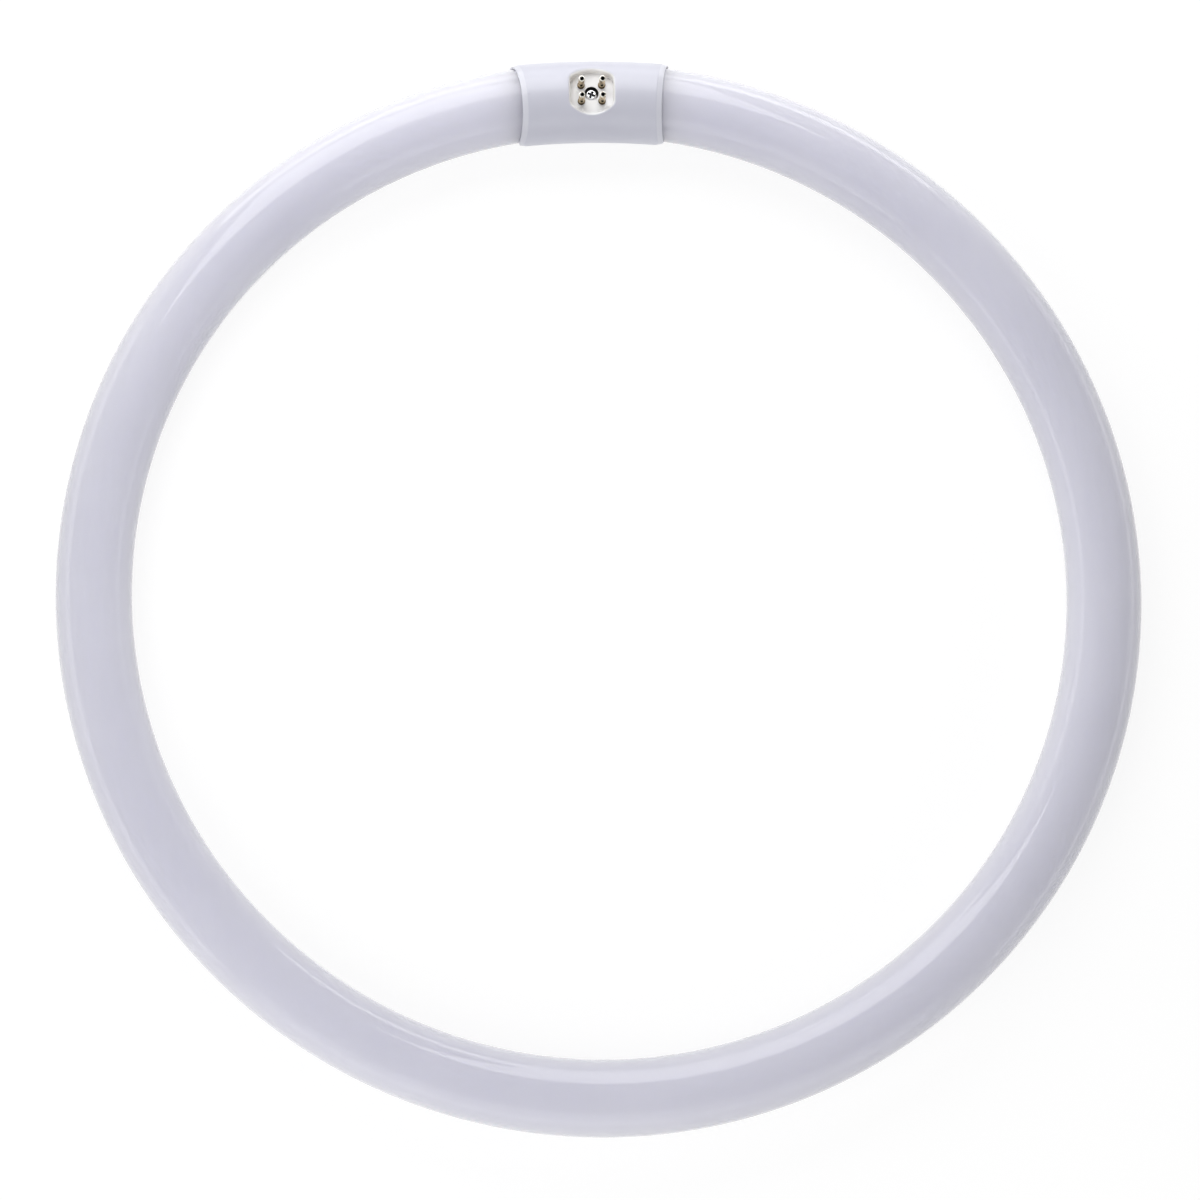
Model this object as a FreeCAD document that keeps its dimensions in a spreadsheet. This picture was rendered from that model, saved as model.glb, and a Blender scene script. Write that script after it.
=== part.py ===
import FreeCAD
import Part
import Sketcher
import os
from itertools import product
from math import hypot

# A ring-shaped fluorescent lamp lying flat, pins up. The ring is centred on the Z axis, the base is
# at +Y, and Z = 0 is the surface that the base rests on. All sizes are in millimetres and degrees.

# Driving sizes
SIZES = {
    # Glass ring: centreline radius and outside radius of the tube
    "ring_radius": 190.0,
    "tube_radius": 14.0,
    # Sealed ends of the glass, hidden in the base
    "tube_engagement": 5.8,
    "neck_radius": 12.6,
    "neck_length": 9.5,
    "shoulder_length": 3.0,
    "neck_rounding": 1.4,
    "funnel_mouth_radius": 9.4,
    "funnel_floor_radius": 4.4,
    "funnel_depth": 6.4,
    "exhaust_tip_radius": 2.0,
    "exhaust_tip_length": 5.4,
    "exhaust_tip_rounding": 1.2,
    # Base mouldings: a tube bent more gently than the ring, parted in the plane of the ring
    "cap_bend_radius": 300.0,
    "cap_half_length": 29.5,
    "cap_wall": 1.15,
    "tube_clearance": 0.35,
    "end_lean": 10.0,
    "end_bevel_length": 2.2,
    "end_bevel_depth": 0.5,
    "lap_height": 0.9,
    "lap_wall": 0.55,
    "lap_clearance": 0.1,
    "lap_setback": 4.0,
    "rib_thickness": 1.4,
    "neck_clearance": 0.25,
    # Socket recess in the front moulding
    "recess_half_length": 8.3,
    "recess_half_width": 8.1,
    "recess_side_half": 4.9,
    "recess_corner": 2.4,
    "recess_floor": 10.0,
    "floor_thickness": 1.6,
    "recess_wall": 1.2,
    "rim_rounding": 1.1,
    # Contact pins on their rectangle
    "pin_spacing_along": 7.92,
    "pin_spacing_across": 6.35,
    "pin_radius": 1.175,
    "pin_length": 8.0,
    "pin_tip_rounding": 0.3,
    "pin_mouth_radius": 0.72,
    "pin_mouth_depth": 2.0,
    "pin_collar_radius": 1.42,
    "pin_collar_height": 0.7,
    "pin_tail_radius": 0.95,
    "pin_tail_length": 1.5,
    "pin_stake_radius": 1.35,
    "pin_stake_height": 0.5,
    "pin_fit": 0.05,
    "crimp_radius": 0.5,
    "crimp_depth": 0.35,
    # Clamp screw and the posts that it pulls together
    "screw_head_radius": 2.3,
    "screw_head_height": 1.8,
    "screw_head_rounding": 0.7,
    "screw_radius": 1.3,
    "screw_length": 14.0,
    "screw_point_length": 1.5,
    "drive_width": 0.95,
    "drive_span": 3.0,
    "drive_depth": 1.1,
    "drive_turn": 66.0,
    "head_clearance": 0.45,
    "head_sink": 1.3,
    "shank_clearance": 0.3,
    "pilot_clearance": 0.05,
    "pilot_spare": 1.0,
    "post_radius": 3.6,
    "gusset_thickness": 1.2,
    "gusset_length": 5.0,
    "gusset_drop": 3.5,
    # Lead wires
    "wire_radius": 0.4,
    "wire_fit": 0.06,
    "wire_bend": 3.0,
    "wire_insertion": 3.6,
    "wire_seal_gap": 0.15,
}

# Derived sizes, as formulas on the driving ones
CAP_BORE = "(sizes.tube_radius + sizes.tube_clearance)"
CAP_OUTER = f"({CAP_BORE} + sizes.cap_wall)"
CAP_MIDWALL = f"({CAP_BORE} + sizes.cap_wall / 2)"
CAP_ANGLE = "(sizes.cap_half_length / sizes.cap_bend_radius * 180 / pi)"
MOUTH_X = f"(sizes.cap_bend_radius * sin({CAP_ANGLE}))"
MOUTH_Y = f"(sizes.cap_bend_radius * cos({CAP_ANGLE}))"
CAP_CENTRE_Y = f"(sqrt(sizes.ring_radius ^ 2 - {MOUTH_X} ^ 2) - {MOUTH_Y})"
BASE_Y = f"({CAP_CENTRE_Y} + sizes.cap_bend_radius)"
RING_Z = CAP_OUTER
JOIN_X = f"({MOUTH_X} - sizes.tube_engagement)"
JOIN_ANGLE = f"(asin({JOIN_X} / sizes.ring_radius) / 1 deg)"
JOIN_Y = f"sqrt(sizes.ring_radius ^ 2 - {JOIN_X} ^ 2)"
FLOOR_UNDERSIDE = "(sizes.recess_floor - sizes.floor_thickness)"
HEAD_SEAT = "(sizes.recess_floor - sizes.head_sink - sizes.screw_head_height)"
LAP_MIDDLE = f"({CAP_BORE} + sizes.lap_wall)"
LAP_HALF_LENGTH = "(sizes.cap_half_length - sizes.lap_setback)"
NECK_MIDDLE = "((sizes.shoulder_length + sizes.neck_length - sizes.neck_rounding) / 2)"
RIB_DISTANCE = f"(sizes.cap_half_length - sizes.tube_engagement - {NECK_MIDDLE})"
PIN_TAIL_END = "(-sizes.floor_thickness - sizes.pin_tail_length)"
PIN_BORE_TOP = f"({PIN_TAIL_END} + sizes.wire_insertion)"

ACROSS_Y = FreeCAD.Vector(0, 1, 0)
ACROSS_Z = FreeCAD.Vector(0, 0, 1)
SIDES = (1, -1)

# How close counts as the same place when edges are picked
CLOSE = 1e-3

doc = FreeCAD.newDocument("circular_fluorescent_tube")
sheet = doc.addObject("Spreadsheet::Sheet", "sizes")


# Sheet, bodies and sketches


def fill_sheet():
    for row, (alias, value) in enumerate(SIZES.items(), start=1):
        sheet.set(f"A{row}", alias)
        sheet.set(f"B{row}", str(value))
        sheet.setAlias(f"B{row}", alias)
    doc.recompute()


def number(expression):
    value = sheet.evalExpression(expression)
    return float(getattr(value, "Value", value))


def new_body(name, x, y, z, turn="0"):
    body = doc.addObject("PartDesign::Body", name)
    body.Label = name
    body.Placement = FreeCAD.Placement(FreeCAD.Vector(), FreeCAD.Rotation(ACROSS_Z, 1))
    for axis, expression in zip("xyz", (x, y, z)):
        body.setExpression(f"Placement.Base.{axis}", expression)
    body.setExpression("Placement.Rotation.Angle", turn)
    return body


def plane_of(body, role):
    return next(item for item in body.Origin.OriginFeatures if item.Role == role)


def new_sketch(body, name, plane, place=("0", "0", "0"), axis=ACROSS_Z, turn=None):
    sketch = body.newObject("Sketcher::SketchObject", f"{body.Name}_{name}")
    sketch.AttachmentSupport = [(plane_of(body, plane), "")]
    sketch.MapMode = "FlatFace"
    if turn:
        sketch.AttachmentOffset = FreeCAD.Placement(FreeCAD.Vector(), FreeCAD.Rotation(axis, 1))
        sketch.setExpression("AttachmentOffset.Rotation.Angle", turn)
    for letter, expression in zip("xyz", place):
        sketch.setExpression(f"AttachmentOffset.Base.{letter}", expression)
    return sketch


def constrain(sketch, expression, *terms):
    index = sketch.addConstraint(Sketcher.Constraint(*terms, number(expression)))
    sketch.setExpression(f"Constraints[{index}]", expression)


def fix_point(sketch, item, vertex, place):
    constrain(sketch, place[0], "DistanceX", -1, 1, item, vertex)
    constrain(sketch, place[1], "DistanceY", -1, 1, item, vertex)


def point(place):
    return FreeCAD.Vector(number(place[0]), number(place[1]), 0)


def add_polygon(sketch, places):
    first = sketch.GeometryCount
    count = len(places)
    for step in range(count):
        ends = point(places[step]), point(places[(step + 1) % count])
        sketch.addGeometry(Part.LineSegment(*ends))
    for step in range(count):
        following = first + (step + 1) % count
        sketch.addConstraint(Sketcher.Constraint("Coincident", first + step, 2, following, 1))
        fix_point(sketch, first + step, 1, places[step])


def add_circle(sketch, centre, radius):
    item = sketch.addGeometry(Part.Circle(point(centre), ACROSS_Z, number(radius)))
    fix_point(sketch, item, 3, centre)
    constrain(sketch, radius, "Radius", item)


def add_barrel(sketch, half_length, half_width, side_half):
    """Two straight sides at x = half_length joined by two crowned ends at y = half_width."""
    crown = f"({half_width} - {side_half})"
    radius = f"(({half_length} ^ 2 + {crown} ^ 2) / (2 * {crown}))"
    corners = [
        (half_length, f"-{side_half}"),
        (half_length, side_half),
        (f"-{half_length}", side_half),
        (f"-{half_length}", f"-{side_half}"),
    ]
    right = sketch.addGeometry(Part.LineSegment(point(corners[0]), point(corners[1])))
    left = sketch.addGeometry(Part.LineSegment(point(corners[2]), point(corners[3])))
    for item, ends in ((right, corners[:2]), (left, corners[2:])):
        fix_point(sketch, item, 1, ends[0])
        fix_point(sketch, item, 2, ends[1])
    for first, second, way in ((right, left, 1), (left, right, -1)):
        start = sketch.getPoint(first, 2)
        end = sketch.getPoint(second, 1)
        apex = FreeCAD.Vector(0, way * number(half_width), 0)
        arc = sketch.addGeometry(Part.Arc(start, apex, end))
        sketch.addConstraint(Sketcher.Constraint("Coincident", arc, 1, first, 2))
        sketch.addConstraint(Sketcher.Constraint("Coincident", arc, 2, second, 1))
        constrain(sketch, radius, "Radius", arc)


# Features


def add_feature(body, kind, name, profile, **values):
    feature = body.newObject(f"PartDesign::{kind}", f"{body.Name}_{name}")
    feature.Profile = profile
    for key, value in values.items():
        setattr(feature, key, value)
    return feature


def extrude(body, kind, name, profile, length=None, reverse=False, symmetric=False):
    feature = add_feature(body, kind, name, profile, Reversed=reverse)
    if symmetric:
        feature.SideType = "Symmetric"
    if length:
        feature.setExpression("Length", length)
    else:
        feature.Type = "ThroughAll"
    doc.recompute()
    return feature


def spin(body, kind, name, profile, angle=None, axis="V_Axis"):
    feature = add_feature(body, kind, name, profile, ReferenceAxis=(profile, [axis]), Midplane=True)
    if angle:
        feature.setExpression("Angle", angle)
    else:
        feature.Angle = 360
    doc.recompute()
    return feature


def mirror(body, name, originals):
    feature = body.newObject("PartDesign::Mirrored", f"{body.Name}_{name}")
    feature.Originals = originals
    feature.MirrorPlane = (plane_of(body, "YZ_Plane"), [""])
    body.Tip = feature
    doc.recompute()


def edge_feature(body, kind, name, test):
    """A fillet or chamfer on those edges of the body so far that pass the test."""
    base = body.Tip
    edges = [f"Edge{index}" for index, edge in enumerate(base.Shape.Edges, start=1) if test(edge)]
    feature = body.newObject(f"PartDesign::{kind}", f"{body.Name}_{name}")
    feature.Base = (base, edges)
    return feature


def round_edges(body, name, radius, test):
    edge_feature(body, "Fillet", name, test).setExpression("Radius", radius)
    doc.recompute()


def is_circle(edge, radius, where):
    """A full or part circle of this radius, and centred where the test says."""
    if not isinstance(edge.Curve, Part.Circle):
        return False
    return abs(edge.Curve.Radius - number(radius)) < CLOSE and where(edge.Curve.Center)


# Glass tube


def make_glass_tube():
    body = new_body("glass_tube", "0", "0", RING_Z)
    section = new_sketch(body, "section", "YZ_Plane")
    add_circle(section, ("-sizes.ring_radius", "0"), "sizes.tube_radius")
    spin(body, "Revolution", "ring", section, f"360 - 2 * {JOIN_ANGLE}")

    half_section = new_sketch(
        body, "end_section", "XY_Plane", (JOIN_X, JOIN_Y, "0"), turn=f"180 - {JOIN_ANGLE}"
    )
    funnel_floor = "(sizes.neck_length - sizes.funnel_depth)"
    tip_end = f"({funnel_floor} + sizes.exhaust_tip_length)"
    add_polygon(half_section, [
        ("0", "0"),
        ("0", "sizes.tube_radius"),
        ("sizes.shoulder_length", "sizes.neck_radius"),
        ("sizes.neck_length", "sizes.neck_radius"),
        ("sizes.neck_length", "sizes.funnel_mouth_radius"),
        (funnel_floor, "sizes.funnel_floor_radius"),
        (funnel_floor, "sizes.exhaust_tip_radius"),
        (tip_end, "sizes.exhaust_tip_radius"),
        (tip_end, "0"),
    ])
    end = spin(body, "Revolution", "sealed_end", half_section, axis="H_Axis")
    mirror(body, "other_end", [end])
    mid_neck = number(f"{JOIN_X} - sizes.neck_length / 2")
    round_edges(body, "neck_rims", "sizes.neck_rounding",
                lambda edge: is_circle(edge, "sizes.neck_radius", lambda at: abs(at.x) < mid_neck))
    mid_tip = number(f"{JOIN_X} - {funnel_floor} - sizes.exhaust_tip_length / 2")
    round_edges(body, "exhaust_tips", "sizes.exhaust_tip_rounding",
                lambda edge: is_circle(edge, "sizes.exhaust_tip_radius", lambda at: abs(at.x) < mid_tip))
    return body


# Base mouldings


def add_shell(body):
    """Bent tube of the base, with a rib at each end that holds the neck of the glass."""
    wall = new_sketch(body, "wall_section", "YZ_Plane")
    add_circle(wall, ("sizes.cap_bend_radius", "0"), CAP_OUTER)
    add_circle(wall, ("sizes.cap_bend_radius", "0"), CAP_BORE)
    spin(body, "Revolution", "wall", wall, f"2 * {CAP_ANGLE}")

    rib_turn = f"-{RIB_DISTANCE} / sizes.cap_bend_radius * 180 / pi"
    disc = new_sketch(body, "rib_outline", "YZ_Plane", axis=ACROSS_Y, turn=rib_turn)
    add_circle(disc, ("sizes.cap_bend_radius", "0"), CAP_MIDWALL)
    rib = extrude(body, "Pad", "rib", disc, "sizes.rib_thickness", symmetric=True)

    join_y = f"({JOIN_Y} - {CAP_CENTRE_Y})"
    opening = new_sketch(
        body, "rib_opening", "YZ_Plane", (join_y, "0", JOIN_X), axis=ACROSS_Y, turn=f"-{JOIN_ANGLE}"
    )
    add_circle(opening, ("0", "0"), "(sizes.neck_radius + sizes.neck_clearance)")
    hole = extrude(body, "Pocket", "neck_hole", opening, "sizes.neck_length")
    mirror(body, "other_rib", [rib, hole])


def lean_ends(body):
    """Slopes each end inwards, away from the parting plane."""
    cutter = new_sketch(
        body, "end_slope", "XZ_Plane", (MOUTH_X, "0", f"-{MOUTH_Y}"), axis=ACROSS_Y,
        turn=f"-{CAP_ANGLE}"
    )
    height = f"(2 * {CAP_OUTER})"
    back = f"(-{height} * tan(sizes.end_lean))"
    add_polygon(cutter, [
        ("0", "0"),
        (back, height),
        (CAP_OUTER, height),
        (CAP_OUTER, f"-{height}"),
        (back, f"-{height}"),
    ])
    cut = extrude(body, "Pocket", "end_cut", cutter, symmetric=True)
    mirror(body, "other_end_cut", [cut])


def on_outside(edge):
    """All of the edge lies on the outside of the bent tube, in the moulding's own frame."""
    bend = number("sizes.cap_bend_radius")
    outer = number(CAP_OUTER)
    for spot in edge.discretize(5):
        across = hypot(spot.x, spot.y) - bend
        if abs(hypot(across, spot.z) - outer) > CLOSE:
            return False
    return True


def middle_of(edge):
    return edge.valueAt((edge.FirstParameter + edge.LastParameter) / 2)


def bevel_ends(body):
    """A long shallow bevel round the outside of both ends, seen as a narrow lighter band."""
    past_recess = number("(sizes.cap_half_length + sizes.recess_half_length) / 2")
    bevel = edge_feature(body, "Chamfer", "end_bevel",
                         lambda edge: on_outside(edge) and abs(middle_of(edge).x) > past_recess)
    bevel.ChamferType = "Two distances"
    bevel.setExpression("Size", "sizes.end_bevel_length")
    bevel.setExpression("Size2", "sizes.end_bevel_depth")
    doc.recompute()


def cut_half(body, name, from_height, upwards):
    """Removes everything above or below a height in the moulding's own frame."""
    sketch = new_sketch(body, name, "XY_Plane", ("0", "0", from_height))
    half = "(2 * sizes.cap_half_length)"
    near = f"(sizes.cap_bend_radius - 2 * {CAP_OUTER})"
    far = f"(sizes.cap_bend_radius + 2 * {CAP_OUTER})"
    add_polygon(sketch, [(f"-{half}", near), (half, near), (half, far), (f"-{half}", far)])
    extrude(body, "Pocket", f"{name}_cut", sketch, f"2 * {CAP_OUTER}", reverse=upwards)


def add_lap(body, kind, name, inner, outer, bottom, top, half_length):
    """A band along both side walls, added or cut, that laps the two mouldings at the parting plane."""
    sketch = new_sketch(body, f"{name}_section", "YZ_Plane")
    for side in SIDES:
        near = f"(sizes.cap_bend_radius + {side} * {inner})"
        far = f"(sizes.cap_bend_radius + {side} * {outer})"
        add_polygon(sketch, [(near, bottom), (far, bottom), (far, top), (near, top)])
    spin(body, kind, name, sketch, f"2 * {half_length} / sizes.cap_bend_radius * 180 / pi")


def make_front_shell():
    body = new_body("base_front_shell", "0", CAP_CENTRE_Y, RING_Z)
    centre = ("0", "sizes.cap_bend_radius", FLOOR_UNDERSIDE)
    block = new_sketch(body, "recess_block", "XY_Plane", centre)
    add_barrel(block, "(sizes.recess_half_length + sizes.recess_wall)",
               "(sizes.recess_half_width + sizes.recess_wall)", "sizes.recess_side_half")
    extrude(body, "Pad", "recess_cup", block, f"{CAP_OUTER} - {FLOOR_UNDERSIDE}")
    trim = new_sketch(body, "cup_trim", "YZ_Plane")
    add_circle(trim, ("sizes.cap_bend_radius", "0"), CAP_MIDWALL)
    add_circle(trim, ("sizes.cap_bend_radius", "0"), f"2 * {CAP_OUTER}")
    spin(body, "Groove", "cup_trimmed", trim, f"2 * {CAP_ANGLE}")

    add_shell(body)
    cut_half(body, "lower_half", "0", False)
    add_lap(body, "Groove", "lap_rebate", f"({CAP_BORE} - sizes.cap_wall)",
            f"({LAP_MIDDLE} + sizes.lap_clearance)", "0", "sizes.lap_height",
            f"({LAP_HALF_LENGTH} + sizes.lap_clearance)")
    lean_ends(body)

    post = new_sketch(body, "post_outline", "XY_Plane", centre)
    add_circle(post, ("0", "0"), "sizes.post_radius")
    extrude(body, "Pad", "post", post, FLOOR_UNDERSIDE, reverse=True)
    floor = ("0", "sizes.cap_bend_radius", "sizes.recess_floor")
    outline = new_sketch(body, "recess_outline", "XY_Plane", floor)
    add_barrel(outline, "sizes.recess_half_length", "sizes.recess_half_width", "sizes.recess_side_half")
    extrude(body, "Pocket", "recess", outline, CAP_OUTER, reverse=True)
    round_recess(body)
    bevel_ends(body)

    head = new_sketch(body, "head_outline", "XY_Plane", floor)
    add_circle(head, ("0", "0"), "(sizes.screw_head_radius + sizes.head_clearance)")
    extrude(body, "Pocket", "counterbore", head, f"sizes.recess_floor - {HEAD_SEAT}")
    shank = new_sketch(body, "shank_outline", "XY_Plane", floor)
    add_circle(shank, ("0", "0"), "(sizes.screw_radius + sizes.shank_clearance)")
    extrude(body, "Pocket", "shank_hole", shank, "2 * sizes.recess_floor")
    pins = new_sketch(body, "pin_outlines", "XY_Plane", floor)
    for along, across in product(SIDES, SIDES):
        add_circle(pins, pin_place(along, across), "(sizes.pin_tail_radius + sizes.pin_fit)")
    extrude(body, "Pocket", "pin_holes", pins, "sizes.recess_floor")
    return body


def round_recess(body):
    """Rounds the recess's four upright corners, then the rim where it breaks through the outside."""
    half_length = number("sizes.recess_half_length")
    floor = number("sizes.recess_floor")

    def is_corner(edge):
        at = middle_of(edge)
        upright = edge.tangentAt(edge.FirstParameter).cross(ACROSS_Z).Length < CLOSE
        return upright and at.z > floor and abs(abs(at.x) - half_length) < CLOSE

    def is_rim(edge):
        at = middle_of(edge)
        return on_outside(edge) and at.z > floor and abs(at.x) < half_length + CLOSE

    round_edges(body, "recess_corners", "sizes.recess_corner", is_corner)
    round_edges(body, "recess_rim", "sizes.rim_rounding", is_rim)


def make_rear_shell():
    body = new_body("base_rear_shell", "0", CAP_CENTRE_Y, RING_Z)
    add_shell(body)
    cut_half(body, "upper_half", "0", True)
    add_lap(body, "Revolution", "lap_tongue", f"({CAP_BORE} + sizes.lap_clearance)", LAP_MIDDLE,
            "-sizes.lap_height", "(sizes.lap_height - sizes.lap_clearance)", LAP_HALF_LENGTH)
    lean_ends(body)

    centre = ("0", "sizes.cap_bend_radius", "0")
    post = new_sketch(body, "post_outline", "XY_Plane", centre)
    add_circle(post, ("0", "0"), "sizes.post_radius")
    extrude(body, "Pad", "post", post, CAP_MIDWALL, reverse=True)
    add_gussets(body)
    pilot = new_sketch(body, "pilot_outline", "XY_Plane", centre)
    add_circle(pilot, ("0", "0"), "(sizes.screw_radius + sizes.pilot_clearance)")
    extrude(body, "Pocket", "pilot_hole", pilot,
            f"sizes.screw_length - {HEAD_SEAT} + sizes.pilot_spare")
    bevel_ends(body)
    return body


def add_gussets(body):
    """Two sloping webs that brace the rear post along the base."""
    sketch = new_sketch(body, "gusset_outline", "XZ_Plane", ("0", "0", "-sizes.cap_bend_radius"))
    foot = "(sizes.post_radius + sizes.gusset_length)"
    add_polygon(sketch, [
        (f"-{foot}", f"-{CAP_MIDWALL}"),
        (foot, f"-{CAP_MIDWALL}"),
        ("sizes.post_radius", "-sizes.gusset_drop"),
        ("-sizes.post_radius", "-sizes.gusset_drop"),
    ])
    extrude(body, "Pad", "gussets", sketch, "sizes.gusset_thickness", symmetric=True)


# Screw, pins and wires


def make_clamp_screw():
    body = new_body("clamp_screw", "0", BASE_Y, f"{RING_Z} + {HEAD_SEAT}")
    section = new_sketch(body, "half_section", "XZ_Plane")
    add_polygon(section, [
        ("0", "-sizes.screw_length"),
        ("sizes.screw_radius", "(sizes.screw_point_length - sizes.screw_length)"),
        ("sizes.screw_radius", "0"),
        ("sizes.screw_head_radius", "0"),
        ("sizes.screw_head_radius", "sizes.screw_head_height"),
        ("0", "sizes.screw_head_height"),
    ])
    spin(body, "Revolution", "blank", section)
    round_edges(body, "head_edge", "sizes.screw_head_rounding",
                lambda edge: is_circle(edge, "sizes.screw_head_radius", lambda at: at.z > CLOSE))
    drive = new_sketch(body, "drive_outline", "XY_Plane", ("0", "0", "sizes.screw_head_height"),
                       turn="sizes.drive_turn")
    near = "(sizes.drive_width / 2)"
    far = "(sizes.drive_span / 2)"
    add_polygon(drive, [
        (far, f"-{near}"), (far, near), (near, near), (near, far),
        (f"-{near}", far), (f"-{near}", near), (f"-{far}", near), (f"-{far}", f"-{near}"),
        (f"-{near}", f"-{near}"), (f"-{near}", f"-{far}"), (near, f"-{far}"), (near, f"-{near}"),
    ])
    extrude(body, "Pocket", "drive", drive, "sizes.drive_depth")
    return body


def pin_place(along, across):
    return f"({along} * sizes.pin_spacing_along / 2)", f"({across} * sizes.pin_spacing_across / 2)"


def make_contact_pin(name, along, across):
    x, y = pin_place(along, across)
    body = new_body(name, x, f"{BASE_Y} + {y}", f"{RING_Z} + sizes.recess_floor")
    section = new_sketch(body, "half_section", "XZ_Plane")
    bore = "(sizes.wire_radius + sizes.wire_fit)"
    stake_end = "(-sizes.floor_thickness - sizes.pin_stake_height)"
    mouth_floor = "(sizes.pin_length - sizes.pin_mouth_depth)"
    add_polygon(section, [
        (bore, PIN_TAIL_END),
        ("sizes.pin_tail_radius", PIN_TAIL_END),
        ("sizes.pin_tail_radius", stake_end),
        ("sizes.pin_stake_radius", stake_end),
        ("sizes.pin_stake_radius", "-sizes.floor_thickness"),
        ("sizes.pin_tail_radius", "-sizes.floor_thickness"),
        ("sizes.pin_tail_radius", "0"),
        ("sizes.pin_collar_radius", "0"),
        ("sizes.pin_collar_radius", "sizes.pin_collar_height"),
        ("sizes.pin_radius", "sizes.pin_collar_height"),
        ("sizes.pin_radius", "sizes.pin_length"),
        ("sizes.pin_mouth_radius", "sizes.pin_length"),
        ("sizes.pin_mouth_radius", mouth_floor),
        ("0", mouth_floor),
        ("0", PIN_BORE_TOP),
        (bore, PIN_BORE_TOP),
    ])
    spin(body, "Revolution", "blank", section)
    tip = number("sizes.pin_length") - CLOSE
    round_edges(body, "tip", "sizes.pin_tip_rounding",
                lambda edge: is_circle(edge, "sizes.pin_radius", lambda at: at.z > tip))
    dent_height = f"((sizes.pin_collar_height + {mouth_floor}) / 2)"
    dent = new_sketch(body, "crimp_outline", "XZ_Plane",
                      ("0", "0", "(sizes.pin_radius - sizes.crimp_depth)"))
    add_circle(dent, ("0", dent_height), "sizes.crimp_radius")
    extrude(body, "Pocket", "crimp", dent, reverse=True)
    return body


def make_lead_wire(name, along, across):
    x, y = pin_place(along, across)
    seal = "(sizes.neck_length - sizes.funnel_depth + sizes.wire_seal_gap)"
    start_x = f"({JOIN_X} - {seal} * cos({JOIN_ANGLE}) + {y} * sin({JOIN_ANGLE}))"
    start_y = f"({JOIN_Y} + {seal} * sin({JOIN_ANGLE}) + {y} * cos({JOIN_ANGLE}))"
    run_x = f"({along} * {start_x} - {x})"
    run_y = f"({start_y} - {BASE_Y} - {y})"
    run = f"sqrt({run_x} ^ 2 + {run_y} ^ 2)"
    body = new_body(name, x, f"{BASE_Y} + {y}", RING_Z, turn=f"atan2({run_y}; {run_x})")
    top = f"(sizes.recess_floor + {PIN_BORE_TOP} - sizes.wire_fit)"
    path = new_sketch(body, "path", "XZ_Plane")
    add_wire_path(path, run, top)
    section = new_sketch(body, "section", "XY_Plane", ("0", "0", top))
    add_circle(section, ("0", "0"), "sizes.wire_radius")
    pipe = add_feature(body, "AdditivePipe", "wire", section)
    pipe.Spine = (path, [])
    doc.recompute()
    return body


def add_wire_path(sketch, run, top):
    """Down from the pin, round one bend and along to the seal in the glass."""
    bend = "sizes.wire_bend"
    halfway = f"({bend} * (1 - cos(45)))"
    down = sketch.addGeometry(Part.LineSegment(point(("0", top)), point(("0", bend))))
    turn = sketch.addGeometry(
        Part.Arc(point(("0", bend)), point((halfway, halfway)), point((bend, "0"))))
    along = sketch.addGeometry(Part.LineSegment(point((bend, "0")), point((run, "0"))))
    fix_point(sketch, down, 1, ("0", top))
    fix_point(sketch, down, 2, ("0", bend))
    fix_point(sketch, along, 1, (bend, "0"))
    fix_point(sketch, along, 2, (run, "0"))
    sketch.addConstraint(Sketcher.Constraint("Coincident", turn, 1, down, 2))
    sketch.addConstraint(Sketcher.Constraint("Coincident", turn, 2, along, 1))
    constrain(sketch, bend, "Radius", turn)


# Check and write


def check_document():
    doc.recompute()
    for item in doc.Objects:
        if "Invalid" in item.State or "Error" in item.State:
            raise RuntimeError(f"{item.Name} failed: {item.State}")


def check_body(body):
    shape = body.Shape
    if shape.isNull() or not shape.isValid() or len(shape.Solids) != 1:
        raise RuntimeError(f"{body.Label} is not one valid solid")


def main():
    fill_sheet()
    bodies = [make_glass_tube(), make_front_shell(), make_rear_shell(), make_clamp_screw()]
    for count, (along, across) in enumerate(product(SIDES, SIDES), start=1):
        bodies.append(make_contact_pin(f"contact_pin_{count}", along, across))
        bodies.append(make_lead_wire(f"lead_wire_{count}", along, across))
    check_document()
    for body in bodies:
        check_body(body)
    os.makedirs("parts", exist_ok=True)
    for body in bodies:
        body.Shape.exportStep(f"parts/{body.Label}.step")
        print(body.Label, round(body.Shape.Volume, 3), body.Shape.BoundBox)


main()
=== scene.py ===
from math import asin, cos, pi, radians, sin

import bpy
from mathutils import Matrix, Vector


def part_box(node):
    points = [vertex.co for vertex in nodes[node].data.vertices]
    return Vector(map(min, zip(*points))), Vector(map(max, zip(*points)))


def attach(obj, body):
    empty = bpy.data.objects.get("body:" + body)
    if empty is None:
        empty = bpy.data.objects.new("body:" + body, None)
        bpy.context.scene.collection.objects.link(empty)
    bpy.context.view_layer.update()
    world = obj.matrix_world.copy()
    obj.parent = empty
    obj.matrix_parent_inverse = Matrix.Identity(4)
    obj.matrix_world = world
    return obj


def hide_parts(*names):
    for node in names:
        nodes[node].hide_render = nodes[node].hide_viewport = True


# Sizes of the glass ring and its sealed ends, in metres
RING_RADIUS = 0.190
RING_HEIGHT = 0.0155
TUBE_RADIUS = 0.014
CAP_BEND_RADIUS = 0.300
CAP_HALF_LENGTH = 0.0295
TUBE_ENGAGEMENT = 0.0058
NECK_RADIUS = 0.0126
NECK_LENGTH = 0.0095
NECK_ROUNDING = 0.0014
SHOULDER_LENGTH = 0.003
FUNNEL_MOUTH = 0.0094
FUNNEL_FLOOR = 0.0044
FUNNEL_DEPTH = 0.0064
TIP_RADIUS = 0.002
TIP_LENGTH = 0.0054
TIP_ROUNDING = 0.0012
RING_STEPS = 400
ROUND_STEPS = 96
CORNER_STEPS = 8
SHARP_ANGLE = radians(35)

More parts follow.
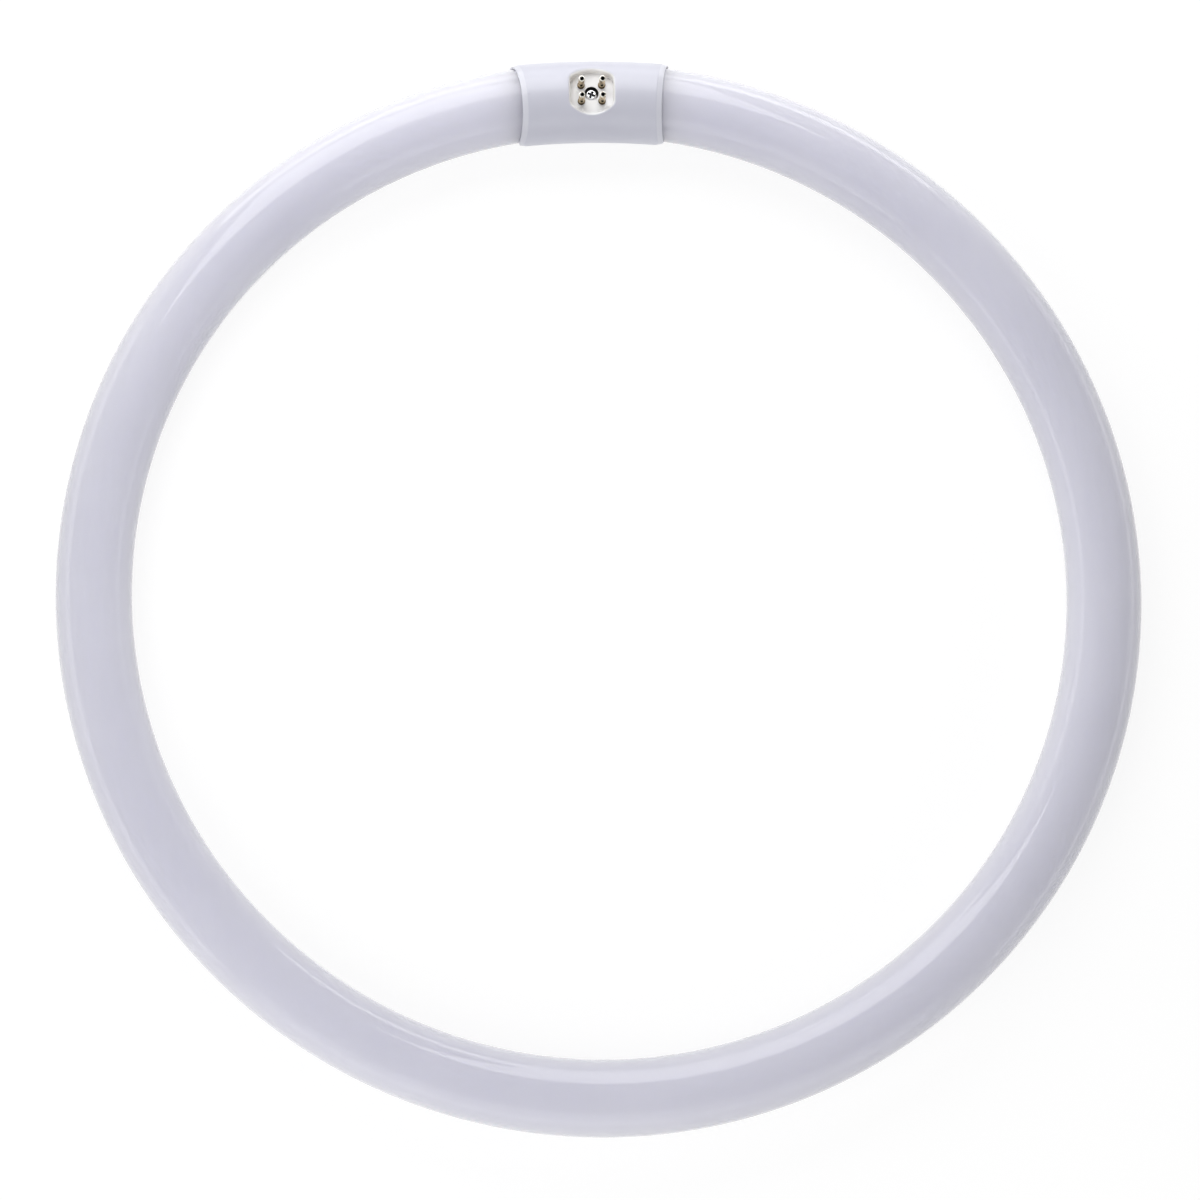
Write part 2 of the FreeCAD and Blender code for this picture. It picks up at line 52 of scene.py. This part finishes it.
# Base, screw and pins: sizes and heights in metres, and the number of pins
CAP_RADIUS = 0.0155
RECESS_FLOOR = 0.0255
COUNTERBORE_RADIUS = 0.00275
PIN_COUNT = 4
PIN_RADIUS = 0.001175
PIN_MOUTH_RADIUS = 0.00072
CRIMP_HEIGHT = 0.02885
DRIVE_DEPTH = 0.0011

# Where one colour fades into the next, as distances in metres
# Depths below the outer skin over which the recess's painted light fades in
SKIN_INNER_DEPTH = 0.0004
SKIN_OUTER_DEPTH = 0.00003
# Reach along the base past which the bevelled ends take their painted highlight
RECESS_REACH = 0.012
RECESS_FADE = 0.001
# Sunk seat beside the screw head, where shade is painted
WELL_DARK_DEPTH = 0.0006
WELL_CLEAR_DEPTH = 0.0001
WELL_SHIFT = 0.0009
WELL_DARK_MARGIN = 0.0001
WELL_CLEAR_MARGIN = 0.0002
# Painted shade in the pin crimps and pin mouths
CRIMP_DARK_REACH = 0.0004
CRIMP_CLEAR_REACH = 0.0008
MOUTH_DARK_MARGIN = 0.00009
MOUTH_CLEAR_MARGIN = 0.00015

# Share of the outside colour on the bevelled ends of the base, which take the rest from the paler recess
# colour as a painted highlight
END_SKIN = 0.8

# Drive of the screw: shares of its depth at which it is fully dark and fully bright, a painted shade
DRIVE_DARK = 0.8
DRIVE_BRIGHT = 0.4

# Painted shade of the pin crimps is longer than wide
CRIMP_STRETCH = (1.0, 1.0, 0.45)

# Drawn brass has fine marks along the pin
DRAWN_STRETCH = (1.0, 1.0, 0.15)

# Stretch of a texture over which a mottled colour and a roughness run from one end to the other
MOTTLE_SPAN = (0.3, 0.7)
GRAIN_SPAN = (0.2, 0.8)

# Darker and lighter colour of each mottled material
COAT_COLOURS = ((0.660, 0.657, 0.752), (0.696, 0.692, 0.786))
OUTSIDE_COLOURS = ((0.604, 0.608, 0.696), (0.636, 0.640, 0.728))
# The recess is painted whiter than the outside, as painted light
RECESS_PAINTED_LIGHT_COLOURS = ((0.955, 0.962, 0.985), (0.975, 0.980, 0.995))
PLATING_COLOURS = ((0.66, 0.66, 0.68), (0.78, 0.78, 0.80))
WIRE_COLOURS = ((0.42, 0.40, 0.36), (0.60, 0.58, 0.53))

# Colours of painted shade in the screw's seat and drive, in the pin crimps and mouths, and of tarnish
WELL_PAINTED_SHADE = (0.012, 0.012, 0.014)
DRIVE_PAINTED_SHADE = (0.030, 0.030, 0.034)
TARNISH_COLOUR = (0.20, 0.14, 0.06)
CRIMP_PAINTED_SHADE = (0.045, 0.035, 0.010)
MOUTH_PAINTED_SHADE = (0.004, 0.004, 0.003)

# Brass of a pin, by its share of the height from the recess floor to the tip: dark at the foot, with a
# painted highlight at the tip
PIN_COLOURS_WITH_TIP_HIGHLIGHT = (
    (0.0, (0.035, 0.022, 0.008)),
    (0.10, (0.10, 0.065, 0.028)),
    (0.17, (0.58, 0.46, 0.26)),
    (0.6, (0.66, 0.52, 0.32)),
    (0.93, (0.72, 0.60, 0.42)),
    # Near-white top of the tip: painted highlight
    (0.97, (0.96, 0.94, 0.88)),
)

# Grey levels of the powder coat's grain, and how far they show
POWDER_LEVELS = ((0.25, 0.82), (0.75, 1.0))
POWDER_SHARE = 0.10

# How far light wanders inside the coated tube, in metres
GLOW_DEPTH = 0.03

# Camera at the photograph's place
CAMERA_LOCATION = (-0.05616, -0.16235, 1.00063)
CAMERA_TARGET = (-0.00152, -0.00573, 0.01447)
CAMERA_UP = (0.0188, 0.9863, 0.1636)
CAMERA_LENS = 79.8
SENSOR_WIDTH = 36.0

# Softboxes: place, width, height and brightness, all aimed at the middle of the ring
SOFTBOXES = {
    "back": ((0.0, 1.22, 0.16), 1.9, 0.32, 2.2),
    "back_near": ((-0.10, 0.55, 0.45), 0.6, 0.5, 3.05),
    "left": ((-1.17, 0.0, 0.20), 1.9, 0.32, 0.9),
    "right": ((1.20, 0.0, 0.10), 1.9, 0.2, 1.0),
    "front": ((0.0, -0.9, 0.36), 1.7, 0.6, 0.9),
}

# Fills, which light the object but aren't mirrored in it
FILLS = {
    "left_front_fill": ((-0.45, -0.45, 0.65), 0.7, 0.7, 2.15),
    "right_fill": ((1.16, 0.0, 0.47), 1.9, 0.5, 1.0),
    "top_fill": ((-0.05, 0.05, 1.2), 1.0, 1.0, 0.45),
}

# Strength of the world as light on the object, and as it is seen
WORLD_LIGHT = 0.02
WORLD_SEEN = 0.5

# Floor as light meets it
FLOOR_GREY = 0.80
FLOOR_ROUGHNESS = 0.9

# Floor as it is seen: partly lit near the object, so that the shadow stays, and plain white far off
FLOOR_LIT = 0.20
FLOOR_GLOW = 0.86
SHADOW_RADIUS = 0.45
WHITE_RADIUS = 1.0

# Shape of the floor, in metres
FLOOR_RADIUS = 3.6
FLOOR_BEND = 0.6
WALL_HEIGHT = 1.2
FLOOR_STEPS = 96
BEND_STEPS = 12

# Sockets of the colour mix node
MIX_FACTOR = 0
MIX_FIRST = 6
MIX_SECOND = 7
MIX_RESULT = 2


# Node helpers


def new_material(name):
    material = bpy.data.materials.new(name)
    material.use_nodes = True
    return material, material.node_tree, material.node_tree.nodes["Principled BSDF"]


def grey(level):
    return level, level, level, 1.0


def add_node(tree, kind, links=None, **settings):
    """A node with its settings, its sockets linked to other sockets or set to plain values."""
    node = tree.nodes.new(kind)
    for key, value in settings.items():
        setattr(node, key, value)
    for key, value in (links or {}).items():
        if isinstance(value, bpy.types.NodeSocket):
            tree.links.new(value, node.inputs[key])
        else:
            node.inputs[key].default_value = value
    return node


def place(tree):
    return add_node(tree, "ShaderNodeTexCoord").outputs["Object"]


def noise(tree, vector, scale, detail):
    links = {"Vector": vector, "Scale": scale, "Detail": detail}
    return add_node(tree, "ShaderNodeTexNoise", links).outputs["Fac"]


def ramp(tree, factor, *stops):
    """Colours or grey levels at rising positions."""
    node = add_node(tree, "ShaderNodeValToRGB", {"Fac": factor})
    elements = node.color_ramp.elements
    while len(elements) < len(stops):
        elements.new(1.0)
    for element, (position, colour) in zip(elements, stops):
        element.position = position
        element.color = (*colour, 1.0) if isinstance(colour, tuple) else grey(colour)
    return node.outputs["Color"]


def mottled(tree, texture, colours):
    """The darker and the lighter colour of a material, spread by a texture."""
    return ramp(tree, texture, *zip(MOTTLE_SPAN, colours))


def maths(tree, operation, first, second):
    return add_node(tree, "ShaderNodeMath", {0: first, 1: second}, operation=operation).outputs[0]


def vector_maths(tree, operation, first, second):
    links = {0: first, 1: second}
    return add_node(tree, "ShaderNodeVectorMath", links, operation=operation).outputs[0]


def moved(tree, vector, origin):
    """The place seen from another origin."""
    return vector_maths(tree, "SUBTRACT", vector, origin)


def scaled(tree, vector, factors):
    return vector_maths(tree, "MULTIPLY", vector, factors)


def length(tree, vector):
    return add_node(tree, "ShaderNodeVectorMath", {0: vector}, operation="LENGTH").outputs["Value"]


def from_axis(tree, vector):
    """Distance from the vertical axis through the origin."""
    return length(tree, scaled(tree, vector, (1.0, 1.0, 0.0)))


def sideways(tree, vector):
    """Distance from the origin along X."""
    return length(tree, scaled(tree, vector, (1.0, 0.0, 0.0)))


def upwards(tree, vector):
    return add_node(tree, "ShaderNodeSeparateXYZ", {0: vector}).outputs["Z"]


def span(tree, value, low, high, new_low=0.0, new_high=1.0):
    """A value's stretch from low to high, held at its ends and spread over the new stretch."""
    links = {"Value": value, "From Min": low, "From Max": high, "To Min": new_low, "To Max": new_high}
    return add_node(tree, "ShaderNodeMapRange", links).outputs["Result"]


def roughened(tree, texture, smoothest, roughest):
    return span(tree, texture, *GRAIN_SPAN, smoothest, roughest)


def mix(tree, factor, first, second, blend="MIX"):
    node = add_node(tree, "ShaderNodeMix", {MIX_FACTOR: factor}, data_type="RGBA", blend_type=blend)
    for socket, colour in ((MIX_FIRST, first), (MIX_SECOND, second)):
        if isinstance(colour, bpy.types.NodeSocket):
            tree.links.new(colour, node.inputs[socket])
        else:
            node.inputs[socket].default_value = (*colour, 1.0)
    return node.outputs[MIX_RESULT]


def bump(tree, height, strength, distance):
    links = {"Height": height, "Strength": strength, "Distance": distance}
    return add_node(tree, "ShaderNodeBump", links).outputs["Normal"]


def fill(tree, shader, links=None, **values):
    """Links textures to a shader's sockets and sets the plain values on the sockets themselves."""
    for key, socket in (links or {}).items():
        tree.links.new(socket, shader.inputs[key])
    for key, value in values.items():
        shader.inputs[key.replace("_", " ")].default_value = value


# Materials


def make_coated_glass():
    """White powder coat seen through clear glass: soft colour below, sharp gloss on top."""
    material, tree, shader = new_material("coated_glass_look")
    at = place(tree)
    cloud = noise(tree, at, scale=16.0, detail=3.0)
    grain = noise(tree, at, scale=2400.0, detail=2.0)
    powder = ramp(tree, grain, *POWDER_LEVELS)
    fill(tree, shader, {
        "Base Color": mix(tree, POWDER_SHARE, mottled(tree, cloud, COAT_COLOURS), powder, "MULTIPLY"),
        "Roughness": roughened(tree, grain, smoothest=0.50, roughest=0.66),
        "Normal": bump(tree, grain, strength=0.12, distance=0.00004),
    }, Subsurface_Weight=1.0, Subsurface_Radius=(1.0, 1.0, 1.0), Subsurface_Scale=GLOW_DEPTH,
         Coat_Weight=1.0, Coat_Roughness=0.06, Coat_IOR=1.45, Specular_IOR_Level=0.0)
    return material


def bent_radius(tree, vector, base_y):
    """Distance from the base's bent axis, which is the base's own radius on its outside."""
    local = moved(tree, vector, (0.0, base_y - CAP_BEND_RADIUS, RING_HEIGHT))
    across = maths(tree, "SUBTRACT", from_axis(tree, local), CAP_BEND_RADIUS)
    section = add_node(tree, "ShaderNodeCombineXYZ", {"X": across, "Y": upwards(tree, local)})
    return length(tree, section.outputs[0])


def outside_share(tree, at, centre):
    """One on the outside of the base, nought in the recess, which takes painted light, a little less than one
    on the bevelled ends, which take a painted highlight.
    """
    radius = bent_radius(tree, at, centre[1])
    out = span(tree, radius, CAP_RADIUS - SKIN_INNER_DEPTH, CAP_RADIUS - SKIN_OUTER_DEPTH)
    along = sideways(tree, moved(tree, at, (*centre, 0.0)))
    # Painted highlight on the bevelled ends past the recess
    past_recess = span(tree, along, RECESS_REACH - RECESS_FADE, RECESS_REACH + RECESS_FADE, 0.0, END_SKIN)
    return maths(tree, "MAXIMUM", out, past_recess)


def clear_of_well_shade(tree, at, centre):
    """Nought down in the sunk seat on the far side of the screw, where shade is painted, one elsewhere."""
    above = span(tree, upwards(tree, at), RECESS_FLOOR - WELL_DARK_DEPTH, RECESS_FLOOR - WELL_CLEAR_DEPTH)
    x, y = centre
    radius = from_axis(tree, moved(tree, at, (x, y + WELL_SHIFT, 0.0)))
    beside = span(tree, radius, COUNTERBORE_RADIUS + WELL_DARK_MARGIN, COUNTERBORE_RADIUS + WELL_CLEAR_MARGIN)
    return maths(tree, "MAXIMUM", above, beside)


def make_base_plastic(centre):
    """Moulded plastic: grey and glossy outside, with painted light whitening the recess and paling the
    bevelled ends, and painted shade down round the screw.
    """
    material, tree, shader = new_material("base_plastic_look")
    at = place(tree)
    flow = noise(tree, at, scale=60.0, detail=3.0)
    satin = noise(tree, at, scale=3200.0, detail=2.0)
    outside = mottled(tree, flow, OUTSIDE_COLOURS)
    # Painted light: the recess takes this whiter colour in full, the bevelled ends in part
    recess_painted_light = mottled(tree, flow, RECESS_PAINTED_LIGHT_COLOURS)
    moulded_with_painted_light = mix(tree, outside_share(tree, at, centre), recess_painted_light, outside)
    fill(tree, shader, {
        # Painted shade in the seat on the far side of the screw
        "Base Color": mix(tree, clear_of_well_shade(tree, at, centre), WELL_PAINTED_SHADE, moulded_with_painted_light),
        "Roughness": roughened(tree, satin, smoothest=0.42, roughest=0.54),
        "Normal": bump(tree, satin, strength=0.10, distance=0.00002),
    }, IOR=1.5, Coat_Weight=0.8, Coat_Roughness=0.3, Coat_IOR=1.5)
    return material


def pin_colour(tree, at, axis, top):
    """Brass by height with a painted highlight at the tip, tarnish in blotches, and painted shade in the
    crimp and in the mouth.
    """
    local = moved(tree, at, (*axis, 0.0))
    # Dark at the foot, with a painted highlight at the tip
    shank = ramp(tree, span(tree, upwards(tree, at), RECESS_FLOOR, top), *PIN_COLOURS_WITH_TIP_HIGHLIGHT)
    blotch = noise(tree, at, scale=900.0, detail=3.0)
    worn = mix(tree, span(tree, blotch, low=0.48, high=0.70), shank, TARNISH_COLOUR)
    crimp = scaled(tree, moved(tree, local, (0.0, -PIN_RADIUS, CRIMP_HEIGHT)), CRIMP_STRETCH)
    past_crimp = span(tree, length(tree, crimp), CRIMP_DARK_REACH, CRIMP_CLEAR_REACH)
    # Painted shade in the crimp
    crimp_shaded = mix(tree, past_crimp, CRIMP_PAINTED_SHADE, worn)
    # Painted shade in the mouth
    past_mouth = span(tree, from_axis(tree, local),
                      PIN_MOUTH_RADIUS + MOUTH_DARK_MARGIN, PIN_MOUTH_RADIUS + MOUTH_CLEAR_MARGIN)
    return mix(tree, past_mouth, MOUTH_PAINTED_SHADE, crimp_shaded)


def make_pin_brass(name, axis, top):
    """Drawn brass: painted highlight on the tip, painted shade in the mouth and crimp, dark at the foot,
    tarnished in blotches between.
    """
    material, tree, shader = new_material(name)
    at = place(tree)
    drawn = noise(tree, scaled(tree, moved(tree, at, (*axis, 0.0)), DRAWN_STRETCH), scale=5200.0, detail=3.0)
    fill(tree, shader, {
        "Base Color": pin_colour(tree, at, axis, top),
        "Roughness": roughened(tree, drawn, smoothest=0.24, roughest=0.42),
        "Normal": bump(tree, drawn, strength=0.25, distance=0.00003),
    }, Metallic=1.0)
    return material


def make_screw_plating(centre, top):
    """Bright plating with fine turned scratches, dull and dark down in the drive and beside the head, a
    painted shade.
    """
    material, tree, shader = new_material("screw_plating_look")
    at = place(tree)
    radius = from_axis(tree, moved(tree, at, (*centre, 0.0)))
    turned = add_node(tree, "ShaderNodeTexNoise", {"W": radius, "Scale": 9000.0, "Detail": 3.0},
                      noise_dimensions="1D").outputs["Fac"]
    # Painted shade down in the drive and below the top of the head
    clear_of_drive_shade = span(tree, upwards(tree, at), top - DRIVE_DARK * DRIVE_DEPTH, top - DRIVE_BRIGHT * DRIVE_DEPTH)
    fill(tree, shader, {
        "Base Color": mix(tree, clear_of_drive_shade, DRIVE_PAINTED_SHADE, mottled(tree, turned, PLATING_COLOURS)),
        "Roughness": roughened(tree, turned, smoothest=0.10, roughest=0.22),
        "Normal": bump(tree, turned, strength=0.15, distance=0.00002),
    }, Metallic=1.0)
    return material


def make_lead_wire():
    """Dull drawn nickel."""
    material, tree, shader = new_material("lead_wire_look")
    drawn = noise(tree, place(tree), scale=1800.0, detail=3.0)
    fill(tree, shader, {
        "Base Color": mottled(tree, drawn, WIRE_COLOURS),
        "Roughness": roughened(tree, drawn, smoothest=0.30, roughest=0.50),
        "Normal": bump(tree, drawn, strength=0.2, distance=0.00003),
    }, Metallic=1.0)
    return material


def dress(node, material):
    node.data.materials.clear()
    node.data.materials.append(material)


# Mesh helpers


def swept_faces(loops, steps):
    """Quads between neighbouring closed loops of points."""
    faces = []
    for loop in range(loops - 1):
        here, above = loop * steps, (loop + 1) * steps
        for step in range(steps):
            following = (step + 1) % steps
            faces.append((here + step, here + following, above + following, above + step))
    return faces


def new_mesh_object(name, points, faces):
    mesh = bpy.data.meshes.new(name)
    mesh.from_pydata(points, [], faces)
    mesh.update()
    mesh.shade_smooth()
    made = bpy.data.objects.new(name, mesh)
    bpy.context.scene.collection.objects.link(made)
    return made


# Glass ring


def rounded_corner(distance, radius, rounding):
    """Points round an outer corner of the end's profile, from its side to its flat end."""
    points = []
    for step in range(CORNER_STEPS + 1):
        turn = pi / 2 * step / CORNER_STEPS
        points.append((distance - rounding * (1 - sin(turn)), radius - rounding * (1 - cos(turn))))
    return points


def end_profile():
    """Distance past the end of the ring and radius, from the tube's shoulder in to the sealed tip."""
    floor = NECK_LENGTH - FUNNEL_DEPTH
    return [
        (SHOULDER_LENGTH, NECK_RADIUS),
        *rounded_corner(NECK_LENGTH, NECK_RADIUS, NECK_ROUNDING),
        (NECK_LENGTH, FUNNEL_MOUTH),
        (floor, FUNNEL_FLOOR),
        (floor, TIP_RADIUS),
        *rounded_corner(floor + TIP_LENGTH, TIP_RADIUS, TIP_ROUNDING),
    ]


def ring_frame(angle):
    """Centre of the tube and its directions outwards and along, at an angle clockwise from +Y."""
    outwards = Vector((sin(angle), cos(angle), 0.0))
    along = Vector((cos(angle), -sin(angle), 0.0))
    return outwards * RING_RADIUS + Vector((0.0, 0.0, RING_HEIGHT)), outwards, along


def ring_loops(start):
    """Circles of the tube as centre, outward direction and radius, from one sealed tip to the other."""
    loops = []
    for step in range(RING_STEPS + 1):
        centre, outwards, _ = ring_frame(start + (2 * pi - 2 * start) * step / RING_STEPS)
        loops.append((centre, outwards, TUBE_RADIUS))
    for angle, way in ((start, -1), (2 * pi - start, 1)):
        centre, outwards, along = ring_frame(angle)
        end = [(centre + along * way * distance, outwards, radius) for distance, radius in end_profile()]
        loops = list(reversed(end)) + loops if way < 0 else loops + end
    return loops


def make_glass_ring():
    """The coated tube with its necked and sealed ends, as one closed mesh."""
    cap_end = CAP_BEND_RADIUS * sin(CAP_HALF_LENGTH / CAP_BEND_RADIUS)
    loops = ring_loops(asin((cap_end - TUBE_ENGAGEMENT) / RING_RADIUS))
    points = []
    for centre, outwards, radius in loops:
        for step in range(ROUND_STEPS):
            turn = 2 * pi * step / ROUND_STEPS
            points.append(centre + outwards * radius * cos(turn) + Vector((0.0, 0.0, radius * sin(turn))))
    first = tuple(reversed(range(ROUND_STEPS)))
    last = tuple(range(len(points) - ROUND_STEPS, len(points)))
    ring = new_mesh_object("glass_ring", points, [*swept_faces(len(loops), ROUND_STEPS), first, last])
    ring.data.set_sharp_from_angle(angle=SHARP_ANGLE)
    return ring


# Stage


def look_at(obj, location, target, up=(0.0, 0.0, 1.0)):
    back = (Vector(location) - Vector(target)).normalized()
    right = Vector(up).cross(back).normalized()
    turn = Matrix((right, back.cross(right), back)).transposed().to_4x4()
    obj.matrix_world = Matrix.Translation(location) @ turn


def add_camera():
    data = bpy.data.cameras.new("camera")
    data.sensor_width = SENSOR_WIDTH
    data.lens = CAMERA_LENS
    camera = bpy.data.objects.new("camera", data)
    bpy.context.scene.collection.objects.link(camera)
    look_at(camera, CAMERA_LOCATION, CAMERA_TARGET, CAMERA_UP)
    bpy.context.scene.camera = camera


def add_softbox(name, location, width, height, brightness, mirrored):
    data = bpy.data.lights.new(name, "AREA")
    data.shape = "RECTANGLE"
    data.size = width
    data.size_y = height
    data.energy = brightness * pi * width * height
    light = bpy.data.objects.new(name, data)
    light.visible_camera = False
    light.visible_glossy = mirrored
    bpy.context.scene.collection.objects.link(light)
    look_at(light, location, (0.0, 0.0, 0.0))


def seen_directly(tree):
    """One for rays from the camera and its mirror and see-through rays, nought for light on the object."""
    rays = add_node(tree, "ShaderNodeLightPath").outputs
    seen_or_mirrored = maths(tree, "MAXIMUM", rays["Is Camera Ray"], rays["Is Glossy Ray"])
    return maths(tree, "MAXIMUM", seen_or_mirrored, rays["Is Transmission Ray"])


def add_world():
    """Faint all-round light, brighter where the eye, mirrors or glass look at it."""
    world = bpy.data.worlds.new("world")
    world.use_nodes = True
    tree = world.node_tree
    background = tree.nodes["Background"]
    background.inputs["Color"].default_value = grey(1.0)
    strength = span(tree, seen_directly(tree), 0.0, 1.0, WORLD_LIGHT, WORLD_SEEN)
    tree.links.new(strength, background.inputs["Strength"])
    bpy.context.scene.world = world


def floor_profile():
    """Radius and height from the flat middle of the floor, round the bend and up the wall."""
    turns = [pi / 2 * step / BEND_STEPS for step in range(BEND_STEPS + 1)]
    bend = [(FLOOR_RADIUS - FLOOR_BEND * (1 - sin(turn)), FLOOR_BEND * (1 - cos(turn))) for turn in turns]
    return [*bend, (FLOOR_RADIUS, WALL_HEIGHT)]


def make_floor_look():
    """White to the eye, with the object's shadow kept in its lit part."""
    material, tree, shader = new_material("floor_look")
    fill(tree, shader, Base_Color=grey(FLOOR_GREY), Roughness=FLOOR_ROUGHNESS, Specular_IOR_Level=0.0)
    far = span(tree, from_axis(tree, place(tree)), SHADOW_RADIUS, WHITE_RADIUS)
    lit = add_node(tree, "ShaderNodeBsdfDiffuse", {"Color": ramp(tree, far, (0.0, FLOOR_LIT), (1.0, 0.0))})
    glow = add_node(tree, "ShaderNodeEmission", {"Strength": span(tree, far, 0.0, 1.0, FLOOR_GLOW, 1.0)})
    white = add_node(tree, "ShaderNodeAddShader", {0: lit.outputs[0], 1: glow.outputs[0]})
    both = add_node(tree, "ShaderNodeMixShader",
                    {0: seen_directly(tree), 1: shader.outputs[0], 2: white.outputs[0]})
    tree.links.new(both.outputs[0], tree.nodes["Material Output"].inputs["Surface"])
    return material


def add_floor():
    """Round pale floor that bends up into a low wall, far outside the lamps."""
    profile = floor_profile()
    points = []
    for radius, height in profile:
        for step in range(FLOOR_STEPS):
            turn = 2 * pi * step / FLOOR_STEPS
            points.append((radius * cos(turn), radius * sin(turn), height))
    middle_face = tuple(range(FLOOR_STEPS))
    bowl = [tuple(reversed(face)) for face in swept_faces(len(profile), FLOOR_STEPS)]
    floor = new_mesh_object("floor", points, [middle_face, *bowl])
    dress(floor, make_floor_look())


# Places in the frame


def middle(node):
    low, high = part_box(node)
    return (low.x + high.x) / 2, (low.y + high.y) / 2


def top_of(node):
    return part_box(node)[1].z


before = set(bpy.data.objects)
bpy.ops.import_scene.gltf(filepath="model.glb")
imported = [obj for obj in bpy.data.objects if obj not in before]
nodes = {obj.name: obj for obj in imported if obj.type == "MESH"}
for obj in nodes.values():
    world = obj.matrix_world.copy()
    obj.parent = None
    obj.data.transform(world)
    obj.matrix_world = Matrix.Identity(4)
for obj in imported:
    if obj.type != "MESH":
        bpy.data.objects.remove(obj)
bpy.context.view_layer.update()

ring = make_glass_ring()
dress(ring, make_coated_glass())
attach(ring, "root")
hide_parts("glass_tube")

screw = "clamp_screw"
plastic = make_base_plastic(middle(screw))
for shell in ("base_front_shell", "base_rear_shell"):
    dress(nodes[shell], plastic)
dress(nodes[screw], make_screw_plating(middle(screw), top_of(screw)))
wire = make_lead_wire()
for number in range(1, PIN_COUNT + 1):
    pin = f"contact_pin_{number}"
    dress(nodes[pin], make_pin_brass(f"pin_brass_look_{number}", middle(pin), top_of(pin)))
    dress(nodes[f"lead_wire_{number}"], wire)

add_camera()
for name, values in SOFTBOXES.items():
    add_softbox(name, *values, mirrored=True)
for name, values in FILLS.items():
    add_softbox(name, *values, mirrored=False)
add_world()
add_floor()
bpy.context.scene.view_settings.view_transform = "Standard"
